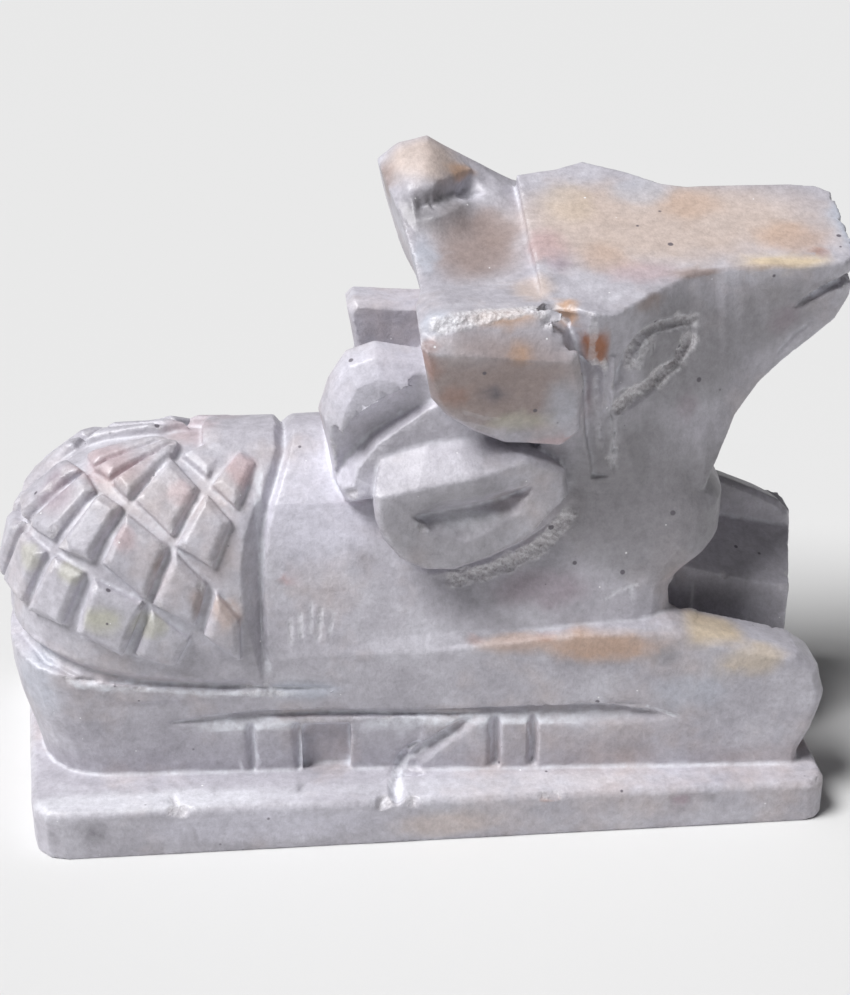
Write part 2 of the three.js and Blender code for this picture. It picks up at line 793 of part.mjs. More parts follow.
// The notch between the near ear and the brow, running down between the ear and the cheek.
function cutEarNotch() {
  const path = [[-6.6, -11.0, 0.4], [-3.9, -13.0, -0.6], [-2.4, -13.6, -4], [-1.6, -13.9, -8],
    [-1.0, -14.4, -13], [-0.6, -14.8, -18]];
  const outs = [[0, -0.5, 0.9], [0.1, -0.8, 0.5], [0.2, -1, 0.1], [0.2, -1, 0], [0.2, -1, 0],
    [0.2, -1, 0]];
  return groove(path.map((p) => inHead(...p)), 2.8, 2.2, outs.map(turned));
}

// The cut that frees the crescent from the neck, below and in front of it.
function cutCollar(side) {
  const path = collarArc.slice(3).map(([x, z]) => [x + 0.5, side * 11.1, z - 1.5]);
  return groove(path, 2.2, 1.3, [0, side, -0.1]);
}

// The groove that hollows the near lobe of the hump.
function cutHump() {
  const path = [[-9.4, -9.2, 36.6], [-8.2, -9.8, 39.6], [-5.9, -10.1, 42.2], [-3.2, -10.2, 44.1],
    [0.6, -10.2, 45.6]];
  return groove(path, 3.6, 2.2, [-0.1, -0.8, 0.45]);
}

function makeFigure() {
  const parts = [
    makePlinth(),
    makeFlank(),
    makeRump(),
    makeBack(),
    makeNeck(),
    makeNearLeg(),
    makeSlice(farLegOutline, [
      [3.6, 0.5, 0.3], [4.4, 0, 0.3], [8, 0, -0.6], [12.4, 0.2, -2.4], [13.6, 1.2, -3.2]]),
    makeLegWeb(),
    makeSlice(nearHumpOutline, [
      [-10.4, 2.0, -0.6], [-9.2, 0.6, -0.2], [-7, 0, 0], [-3, 0.2, -1.6], [1, 1, -4]]),
    makeSlice(farHumpOutline, [[3.4, 0.6], [4.2, 0], [8, 0], [11, 1.0, -1.6]]),
    makeCollar(-1),
    makeCollar(1),
    makeFace(),
    makeCrown(),
    makeEar([[-16, 0.8], [-15.2, 0], [-9, 0.4]]),
    makeEar([[8, 0.4], [12.8, 0], [13.6, 0.8]], 2),
  ];
  const whole = parts.reduce((sum, piece) => sum.add(piece));
  const carved = makeBlocks().reduce((sum, block) => sum.add(block), whole.subtract(cutHem()));
  const cuts = [
    lensCut(),
    cutClothEdge(),
    cutLong(-1),
    cutLong(1),
    ...notches.map(cutNotch),
    cutShelf(),
    ...cutFork(),
    cutCollar(-1),
    cutCollar(1),
    cutHump(),
    cutSlot(),
    cutEarNotch(),
    ...cutEye(-1, 1.3, 0.8),
    ...cutEye(1, 1.0, 0.6),
    cutMouth(),
  ];
  return cuts.reduce((rest, cut) => rest.subtract(cut), carved);
}

function toMesh(body, name, material) {
  const { vertProperties, triVerts } = body.getMesh();
  const geometry = new THREE.BufferGeometry();
  geometry.setAttribute("position", new THREE.BufferAttribute(vertProperties, 3));
  geometry.setIndex(new THREE.BufferAttribute(triVerts, 1));
  const mesh = new THREE.Mesh(mergeVertices(geometry, 1e-4), material);
  mesh.name = name;
  return mesh;
}

const soapstone = new THREE.MeshStandardMaterial({ color: 0xb3adb3, roughness: 0.5, metalness: 0 });

const model = new THREE.Group();
model.add(toMesh(makeFigure(), "nandi_bull", soapstone));
export default model;
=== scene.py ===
import bmesh
import bpy
import numpy as np
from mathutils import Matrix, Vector


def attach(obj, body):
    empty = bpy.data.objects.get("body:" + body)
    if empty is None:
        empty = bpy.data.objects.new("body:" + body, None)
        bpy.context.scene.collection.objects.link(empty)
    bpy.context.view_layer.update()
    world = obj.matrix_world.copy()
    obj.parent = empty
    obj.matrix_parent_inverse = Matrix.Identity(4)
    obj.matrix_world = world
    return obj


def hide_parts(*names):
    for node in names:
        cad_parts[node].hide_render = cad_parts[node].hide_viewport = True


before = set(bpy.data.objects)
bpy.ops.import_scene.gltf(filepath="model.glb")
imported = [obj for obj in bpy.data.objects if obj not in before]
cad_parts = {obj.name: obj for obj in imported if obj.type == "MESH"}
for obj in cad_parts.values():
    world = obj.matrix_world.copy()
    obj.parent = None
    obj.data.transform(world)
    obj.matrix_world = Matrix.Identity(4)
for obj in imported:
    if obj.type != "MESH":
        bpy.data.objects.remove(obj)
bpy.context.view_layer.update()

# Lengths here are millimetres in the frame of the part. The scene itself is in metres.
mm = 0.001


def linearColour(code, alpha=1.0):
    parts = [int(code[i:i + 2], 16) / 255 for i in (1, 3, 5)]
    linear = [p / 12.92 if p <= 0.04045 else ((p + 0.055) / 1.055) ** 2.4 for p in parts]
    return (*linear, alpha)


def addNode(tree, kind, settings=None, sockets=None):
    # A socket takes a value, or a pair (node, output) to be linked from.
    node = tree.nodes.new(kind)
    for name, value in (settings or {}).items():
        setattr(node, name, value)
    for name, value in (sockets or {}).items():
        socket = node.inputs[name]
        if isinstance(value, tuple) and isinstance(value[0], bpy.types.Node):
            tree.links.new(value[0].outputs[value[1]], socket)
        else:
            socket.default_value = value
    return node


def smoothStep(low, high, values):
    t = np.clip((values - low) / (high - low), 0, 1)
    return t * t * (3 - 2 * t)


def softNoise(points, size, seed):
    # Smooth noise from -1 to 1, with bumps about `size` across.
    cells = 24
    lattice = np.random.RandomState(seed).uniform(-1, 1, (cells, cells, cells))
    scaled = points / size + 100
    base = np.floor(scaled).astype(int)
    part = scaled - base
    part = part * part * (3 - 2 * part)
    total = np.zeros(len(points))
    for corner in range(8):
        step = np.array([corner & 1, corner >> 1 & 1, corner >> 2 & 1])
        weight = np.prod(np.where(step, part, 1 - part), axis=1)
        cell = (base + step) % cells
        total += weight * lattice[cell[:, 0], cell[:, 1], cell[:, 2]]
    return total


def crystalNoise(points, size, seed):
    # A broken face: flat facets about `size` across, each tipped its own way, from -1 to 1.
    table = np.random.RandomState(seed).uniform(0, 1, (4096, 7))
    cell = np.floor(points / size).astype(int)
    nearest = np.full(len(points), 1e9)
    height = np.zeros(len(points))
    for step in np.ndindex(3, 3, 3):
        neighbour = cell + np.array(step) - 1
        row = table[(neighbour @ np.array([73, 157, 389])) % len(table)]
        offset = points / size - neighbour - row[:, :3]
        distance = (offset ** 2).sum(1)
        nearer = distance < nearest
        nearest[nearer] = distance[nearer]
        tipped = (row[:, 6] - 0.5) + 1.6 * (offset * (row[:, 3:6] - 0.5)).sum(1)
        height[nearer] = tipped[nearer]
    return np.clip(height, -1, 1)


def pathReach(points, path):
    # How far each point lies from a run of straight lines, and where along it, from 0 to 1.
    path = np.array(path, float)
    lengths = np.linalg.norm(path[1:] - path[:-1], axis=1)
    starts = np.concatenate([[0], np.cumsum(lengths)])
    distance = np.full(len(points), 1e9)
    along = np.zeros(len(points))
    for i, length in enumerate(lengths):
        line = path[i + 1] - path[i]
        t = np.clip((points - path[i]) @ line / length ** 2, 0, 1)
        gap = np.linalg.norm(points - path[i] - t[:, None] * line, axis=1)
        nearer = gap < distance
        distance[nearer] = gap[nearer]
        along[nearer] = (starts[i] + t[nearer] * length) / starts[-1]
    return distance, along


def pointsNear(points, path, reach):
    low = np.min(path, axis=0) - reach
    high = np.max(path, axis=0) + reach
    return np.flatnonzero(((points > low) & (points < high)).all(1))


def ringsOf(edges, count):
    # The neighbours of each point, six to a row. A shorter row is filled up with the point itself.
    ends = np.concatenate([edges, edges[:, ::-1]])
    ends = ends[np.argsort(ends[:, 0], kind="stable")]
    first = np.searchsorted(ends[:, 0], np.arange(count))
    column = np.arange(len(ends)) - first[ends[:, 0]]
    rings = np.repeat(np.arange(count)[:, None], 6, axis=1)
    kept = column < 6
    rings[ends[kept, 0], column[kept]] = ends[kept, 1]
    return rings


def eased(values, rings, rounds, share=0.5):
    # Every point drifts towards the mean of its neighbours.
    for _ in range(rounds):
        mean = sum(values[rings[:, k]] for k in range(6)) / 6
        values = values + share * (mean - values)
    return values


def pointsOf(mesh):
    points = np.empty(len(mesh.vertices) * 3)
    mesh.vertices.foreach_get("co", points)
    return points.reshape(-1, 3) / mm


def setPoints(mesh, points):
    mesh.vertices.foreach_set("co", (points * mm).ravel())
    mesh.update()


def normalsOf(mesh):
    normals = np.empty(len(mesh.vertices) * 3)
    mesh.vertex_normals.foreach_get("vector", normals)
    return normals.reshape(-1, 3)


def edgesOf(mesh):
    edges = np.empty(len(mesh.edges) * 2, int)
    mesh.edges.foreach_get("vertices", edges)
    return edges.reshape(-1, 2)


def afterModifiers(piece):
    graph = bpy.context.evaluated_depsgraph_get()
    mesh = bpy.data.meshes.new_from_object(piece.evaluated_get(graph))
    piece.modifiers.clear()
    piece.data = mesh
    return mesh


# The blank is the solid of the model, with the far horn's front facet filled out.
carving = {
    "node": "nandi_bull",
    "voxel": 0.2,  # how finely the blank is worked
    "triangles": 192000,
    "edgeRounds": 1,  # rounds of easing, which wear the sawn edges
    "waver": 0.06,  # how far a face strays from true, over 5 mm
    "ripple": 0.025,  # and over 1.4 mm
}
# Lumps that fill out the blank, each the tightest skin round its corners.
lumps = {
    "hornFacet": [(-1.9, 8.9, 62.6), (1.6, 10.0, 64.2), (6.2, 9.9, 61.6), (3.4, 8.0, 60.9), (1.3, 7.1, 60.9),
                  (-0.2, 7.0, 61.0), (-1.9, 8.4, 61.4), (0.5, 11.5, 61.0), (5.0, 11.5, 60.5)],
    "notchFacets": [(12.6, -11.4, 55.0), (14.9, -13.0, 54.6), (17.2, -12.3, 54.1), (16.3, -12.0, 49.2),
                    (14.9, -12.1, 49.2), (13.6, -11.9, 50.5), (13.0, -8.0, 55.2), (17.0, -8.0, 55.6), (15.0, -8.0, 49.0)],
    "behindEar": [(15.0, -9.5, 37.0), (17.8, -10.2, 36.8), (14.4, -10.9, 49.8), (17.2, -12.0, 49.8),
                  (15.0, -6.0, 37.0), (17.5, -6.0, 37.0), (15.0, -6.0, 49.5), (17.5, -6.0, 49.5)],
}


def cutBlank():
    blank = bpy.data.objects.new("carved_bull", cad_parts[carving["node"]].data.copy())
    bpy.context.scene.collection.objects.link(blank)
    blank.data.materials.clear()
    shape = bmesh.new()
    shape.from_mesh(blank.data)
    for corners in lumps.values():
        bmesh.ops.convex_hull(shape, input=[shape.verts.new(Vector(p) * mm) for p in corners])
    shape.to_mesh(blank.data)
    shape.free()
    remesh = blank.modifiers.new("cut", "REMESH")
    remesh.mode = "VOXEL"
    remesh.voxel_size = carving["voxel"] * mm
    afterModifiers(blank)
    return blank


# Faces that were rubbed into each other: middle, reach along each axis, rounds of easing.
rubbed = [
    ((5.5, 0.8, 56.9), (6.0, 8.5, 4.0), 260),
    ((2.2, 8.6, 62.3), (5.0, 4.0, 3.2), 90),
    ((2.8, 5.5, 60.5), (3.5, 3.5, 2.5), 60),
]


def rubTogether(points, rings):
    for middle, reach, rounds in rubbed:
        distance = np.linalg.norm((points - np.array(middle)) / np.array(reach), axis=1)
        some = np.flatnonzero(distance < 1)
        place = np.full(len(points), -1)
        place[some] = np.arange(len(some))
        here = place[rings[some]]
        here = np.where(here < 0, np.arange(len(some))[:, None], here)
        share = (1 - smoothStep(0.7, 1.0, distance[some]))[:, None]
        points[some] += share * (eased(points[some], here, rounds) - points[some])


# Cuts made after the solid: path, width and depth, how ragged, how much of it is freshly broken.
# A depth below 0 heaps the stone up instead.
cuts = {
    "hornScoop": dict(path=[(-0.4, 4.6, 59.3), (1.6, 4.6, 59.9), (4.2, 7.2, 60.0), (7.2, 9.3, 60.2)],
                      width=3.6, depth=1.3, ragged=0.15, fresh=0),
    "eyeUpper": dict(path=[(18.7, -10.8, 47.6), (18.9, -10.6, 49.8), (19.8, -9.9, 51.0), (21.6, -8.8, 51.6),
                           (24.0, -7.5, 51.5), (26.5, -7.0, 51.3)],
                     width=1.3, depth=0.25, ragged=0.6, fresh=1),
    "eyeInner": dict(path=[(19.5, -10.5, 47.7), (20.1, -10.2, 49.8), (21.4, -9.3, 50.6)],
                     width=1.0, depth=0.15, ragged=0.7, fresh=1),
    "eyeLower": dict(path=[(25.0, -7.5, 50.7), (24.7, -7.3, 48.9), (23.5, -7.9, 47.4), (21.7, -9.3, 46.3),
                           (19.9, -10.1, 45.3), (17.9, -10.7, 44.2), (17.2, -10.9, 43.8)],
                     width=2.0, depth=0.45, ragged=0.5, fresh=1),
    "earStrip": dict(path=[(-0.4, -12.8, 54.0), (0.8, -13.7, 54.2), (3.8, -13.3, 55.0), (6.2, -12.7, 55.1),
                           (11.0, -12.7, 55.2)],
                     width=1.7, depth=0.1, ragged=0.6, fresh=0.8),
    "earScratchA": dict(path=[(1.8, -13.1, 44.8), (3.9, -13.3, 44.0), (6.3, -13.1, 43.1)],
                        width=0.5, depth=0.15, ragged=0.3, fresh=0.3),
    "earScratchB": dict(path=[(2.7, -13.8, 45.7), (4.6, -13.5, 44.9), (6.3, -13.5, 44.6)],
                        width=0.45, depth=0.12, ragged=0.3, fresh=0.3),
    "notchRidge": dict(path=[(14.9, -12.9, 54.3), (14.9, -12.5, 52.3), (14.9, -12.2, 50.3), (15.0, -12.1, 49.2)],
                       width=0.7, depth=0.12, ragged=0.8, fresh=0.8),
    "notchFoot": dict(path=[(14.7, -12.0, 49.6), (15.6, -12.0, 48.8), (16.6, -12.0, 49.1)],
                      width=1.3, depth=-0.15, ragged=0.7, fresh=1),
    "earCheekA": dict(path=[(15.5, -11.4, 48.3), (15.9, -10.9, 45.4), (16.2, -10.5, 42.6), (16.6, -10.1, 39.2)],
                      width=0.7, depth=0.3, ragged=0.8, fresh=0.5),
    "earCheekB": dict(path=[(16.4, -11.8, 49.1), (16.8, -11.3, 45.7), (17.2, -10.6, 41.7), (17.6, -10.1, 38.1)],
                      width=0.5, depth=0.25, ragged=0.5, fresh=0.2),
    "earCheekC": dict(path=[(17.4, -11.0, 44.5), (17.7, -10.5, 41.2), (18.0, -10.2, 37.2)],
                      width=0.7, depth=0.3, ragged=0.6, fresh=0.7),
    "earEdge": dict(path=[(13.8, -11.1, 50.9), (14.7, -10.0, 48.4), (15.5, -9.8, 45.1), (15.6, -8.9, 41.6)],
                    width=0.5, depth=0.2, ragged=0.7, fresh=0.2),
    "collarArc": dict(path=[(-1.8, -10.9, 27.5), (-0.8, -10.9, 27.3), (2.0, -10.8, 27.1), (5.5, -10.7, 27.9),
                            (8.6, -10.7, 29.1), (11.4, -10.5, 31.1), (13.0, -10.3, 33.5)],
                      width=0.7, depth=0.5, ragged=0.2, fresh=0),
    "collarLedge": dict(path=[(1.0, -10.9, 26.2), (4.9, -10.9, 26.7), (7.9, -10.8, 27.7), (10.6, -10.7, 29.2),
                              (12.9, -10.4, 31.6), (14.2, -10.1, 33.6)],
                        width=1.7, depth=0.3, ragged=0.5, fresh=1),
    "shoulderA": dict(path=[(-12.9, -11.5, 23.6), (-12.9, -12.2, 20.9)], width=0.5, depth=0.15, ragged=0.4, fresh=0.8),
    "shoulderB": dict(path=[(-11.7, -11.2, 24.8), (-12.0, -12.1, 21.4)], width=0.4, depth=0.15, ragged=0.4, fresh=0.8),
    "shoulderC": dict(path=[(-10.8, -11.4, 24.1), (-11.3, -12.3, 20.6)], width=0.6, depth=0.18, ragged=0.4, fresh=0.8),
    "shoulderD": dict(path=[(-9.5, -11.5, 23.5), (-10.1, -12.1, 21.1)], width=0.4, depth=0.12, ragged=0.4, fresh=0.8),
    "shoulderE": dict(path=[(-13.9, -11.6, 23.1), (-13.9, -12.3, 20.4)], width=0.5, depth=0.15, ragged=0.4, fresh=0.8),
    "neckScratchA": dict(path=[(20.9, -11.6, 25.3), (18.9, -11.7, 24.7), (17.3, -11.9, 23.7)],
                         width=0.35, depth=0.12, ragged=0.3, fresh=0.9),
    "neckScratchB": dict(path=[(19.9, -11.6, 25.1), (20.2, -12.0, 23.6)], width=0.35, depth=0.1, ragged=0.3, fresh=0.9),
    "undercutTip": dict(path=[(21.6, -13.9, 12.3), (24.4, -14.0, 11.1), (25.3, -14.1, 10.9)],
                        width=0.4, depth=0.25, ragged=0.1, fresh=0.3, powder=0.9),
    "undercut": dict(path=[(-25.9, -12.2, 11.8), (-22.4, -12.1, 11.9), (-17.3, -12.1, 12.2), (-12.3, -12.2, 12.2),
                           (-8.3, -12.4, 12.1), (-2.2, -12.7, 11.9), (2.9, -12.8, 11.7), (8.0, -12.9, 11.7),
                           (14.2, -13.1, 11.9), (19.0, -13.8, 12.6), (21.6, -13.9, 12.4)],
                     width=0.7, depth=0.5, ragged=0.15, fresh=0),
    "undercutLedge": dict(path=[(-25.0, -12.2, 11.4), (-22.4, -12.1, 11.3), (-17.3, -12.1, 11.2), (-12.3, -11.9, 10.9),
                                (-8.3, -11.8, 10.7), (-2.2, -12.8, 11.1), (2.9, -12.9, 11.1), (8.0, -13.0, 11.0),
                                (14.2, -13.3, 11.0), (19.0, -13.8, 11.4), (22.5, -13.9, 11.4)],
                          width=1.3, depth=0.0, ragged=0.3, fresh=0, powder=1.0),
    "notchA": dict(path=[(-18.0, -11.6, 10.5), (-17.9, -11.9, 8.4), (-17.7, -12.1, 6.1)],
                   width=0.5, depth=0.1, ragged=0.3, fresh=0, powder=0.9),
    "notchB": dict(path=[(-13.3, -11.7, 10.3), (-13.2, -12.1, 8.3), (-13.4, -11.8, 5.5)],
                   width=0.6, depth=0.1, ragged=0.3, fresh=0.2, powder=1.0),
    "notchC": dict(path=[(5.8, -12.8, 11.0), (6.3, -12.7, 8.2), (6.2, -12.8, 5.5)],
                   width=0.6, depth=0.1, ragged=0.3, fresh=0, powder=0.8),
    "notchD": dict(path=[(9.9, -13.3, 10.2), (10.3, -12.8, 7.8), (10.3, -12.9, 5.5)],
                   width=0.6, depth=0.1, ragged=0.3, fresh=0, powder=0.8),
    "forkA": dict(path=[(-3.9, -18.1, 4.8), (-3.9, -15.5, 4.8), (-3.5, -13.2, 4.9), (-2.9, -12.1, 6.3),
                        (-0.6, -12.2, 8.2), (2.7, -12.7, 10.0)],
                  width=1.3, depth=0.1, ragged=0.5, fresh=0.3, powder=1.0),
    "forkB": dict(path=[(-2.9, -12.1, 6.3), (-2.6, -12.3, 7.6), (-0.9, -12.6, 8.6)],
                  width=0.8, depth=0.1, ragged=0.5, fresh=0.2, powder=0.8),
    "clothHem": dict(path=[(-41.4, -5.5, 19.6), (-38.4, -9.9, 18.4), (-34.9, -12.0, 17.3), (-30.0, -12.0, 16.7),
                           (-23.2, -12.0, 15.9), (-17.2, -12.5, 15.6), (-10.2, -12.7, 15.3)],
                     width=0.8, depth=0.45, ragged=0.25, fresh=0),
    "hemEdge": dict(path=[(-41.0, -6.0, 18.9), (-38.2, -10.0, 17.8), (-34.7, -12.1, 16.7), (-30.0, -12.1, 16.1),
                          (-23.2, -12.1, 15.4), (-17.2, -12.5, 15.1), (-12.2, -12.7, 14.9)],
                    width=0.8, depth=-0.08, ragged=0.5, fresh=0.25, powder=1.0),
    "clothEdge": dict(path=[(-16.4, -12.5, 16.6), (-16.0, -11.8, 19.6), (-16.1, -11.0, 22.6), (-16.3, -10.0, 26.6),
                            (-16.5, -9.4, 30.8), (-16.6, -8.1, 34.5), (-16.4, -5.2, 37.4)],
                      width=0.8, depth=0.05, ragged=0.5, fresh=0.15, powder=0.8),
    "plinthChip": dict(path=[(-26.4, -15.6, 5.5), (-25.8, -17.3, 5.5), (-25.8, -18.1, 4.8)],
                       width=0.8, depth=0.25, ragged=0.5, fresh=0.9),
    "mouth": dict(path=[(41.0, -4.7, 54.6), (39.9, -4.3, 53.8), (38.6, -4.4, 53.2), (37.3, -4.4, 52.3)],
                  width=1.6, depth=0.35, ragged=0.15, fresh=0),
    "chin": dict(path=[(37.7, -4.3, 49.4), (36.4, -4.3, 48.3), (34.8, -4.2, 46.3)],
                 width=0.8, depth=0.25, ragged=0.3, fresh=0),
}


def cutReach(points, cut):
    # Each point's distance from the ragged line of a cut in half widths, and its share by the ends.
    distance, along = pathReach(points, cut["path"])
    stray = softNoise(points, 0.9, 21) + 0.6 * softNoise(points, 0.35, 22)
    distance = distance / (cut["width"] / 2) + 0.5 * cut["ragged"] * stray
    ends = smoothStep(0, 0.12, along) * smoothStep(0, 0.12, 1 - along)
    return distance, 0.25 + 0.75 * ends


def makeCuts(points, normals, rings):
    fresh = np.zeros(len(points))
    powder = np.zeros(len(points))
    cutAt = np.zeros(len(points))
    for cut in cuts.values():
        some = pointsNear(points, cut["path"], cut["width"] + 0.5)
        reach, ends = cutReach(points[some], cut)
        profile = (1 - smoothStep(0.15, 1.05, reach)) * ends
        depth = cut["depth"] * (1 + cut["ragged"] * softNoise(points[some], 0.6, 23))
        near = (1 - smoothStep(0.8, 1.25, reach)) * smoothStep(0.2, 0.7, ends)
        fresh[some] = np.maximum(fresh[some], cut["fresh"] * near * min(1, cut["width"] / 1.6))
        powder[some] = np.maximum(powder[some], cut.get("powder", 0.5 * cut["fresh"]) * near)
        cutAt[some] = np.maximum(cutAt[some], near)
        points[some] -= normals[some] * (profile * depth)[:, None]
    some = np.flatnonzero(cutAt > 0.02)
    settled = points.copy()
    for _ in range(3):
        mean = sum(settled[rings[some, k]] for k in range(6)) / 6
        settled[some] += 0.5 * cutAt[some, None] * (mean - settled[some])
    points[some] = settled[some]
    some = np.flatnonzero(fresh > 0.02)
    facets = 0.13 * crystalNoise(points[some], 0.9, 24) + 0.07 * crystalNoise(points[some], 0.4, 25)
    points[some] += normals[some] * (facets * fresh[some])[:, None]
    return fresh, powder


# Small chips along the edges, and a few larger ones: middle, which way the stone left, reach, depth.
chipping = {
    "count": 300,
    "seed": 5,
    "reach": (0.35, 1.3),
    "depth": (0.04, 0.24),
    "placed": [
        ((-25.8, -18.1, 5.3), (0.2, -0.7, 0.7), 1.3, 0.5),
        ((-4.9, -18.1, 4.8), (-0.3, -0.6, 0.7), 1.4, 0.4),
        ((-2.8, -18.1, 4.9), (0.3, -0.7, 0.6), 1.2, 0.35),
        ((11.6, -18.1, 4.7), (0.0, -0.8, 0.6), 1.4, 0.35),
        ((-41.0, -17.6, 5.4), (-0.6, -0.6, 0.5), 1.5, 0.5),
        ((39.8, -17.6, 4.4), (0.5, -0.6, 0.6), 1.6, 0.5),
        ((30.0, 18.1, 4.8), (0.1, 0.7, 0.7), 2.2, 0.6),
        ((-12.0, 18.1, 5.2), (0.0, 0.7, 0.7), 1.8, 0.5),
    ],
}


def chipEdges(points, normals, sharp):
    random = np.random.RandomState(chipping["seed"])
    edge = np.flatnonzero((sharp > 0.07) & (points[:, 2] > 0.4))
    chips = list(chipping["placed"])
    for i in random.choice(edge, chipping["count"], replace=False):
        lean = normals[i] + random.uniform(-0.5, 0.5, 3)
        size = random.uniform(0, 1) ** 2
        chips.append((points[i].copy(), lean, np.interp(size, (0, 1), chipping["reach"]),
                      np.interp(size, (0, 1), chipping["depth"])))
    broken = np.zeros(len(points))
    for middle, lean, reach, depth in chips:
        lean = np.array(lean) / np.linalg.norm(lean)
        some = pointsNear(points, [middle], reach)
        offset = points[some] - middle
        over = np.maximum(offset @ lean + depth, 0)
        share = 1 - smoothStep(0.6, 1.0, np.linalg.norm(offset, axis=1) / reach)
        points[some] -= (over * share)[:, None] * lean
        broken[some] = np.maximum(broken[some], share * smoothStep(0.02, 0.12, over))
    return broken


# Colours that run through the stone. The slate tint is used mostly for painted shade.
tints = {
    "chalk": "#ebecf3",
    "lilac": "#d9d7e4",
    "blueGrey": "#b9bfcd",
    "slateAndShade": "#8e8b90",
    "coal": "#65616a",
    "sand": "#cfbbae",
    "cream": "#dcc7a5",
    "ochre": "#cb9d72",
    "rust": "#a3633a",
    "rose": "#c3a3a4",
    "mauve": "#9a8490",
    "brown": "#98847d",
    "olive": "#bdbca5",
}
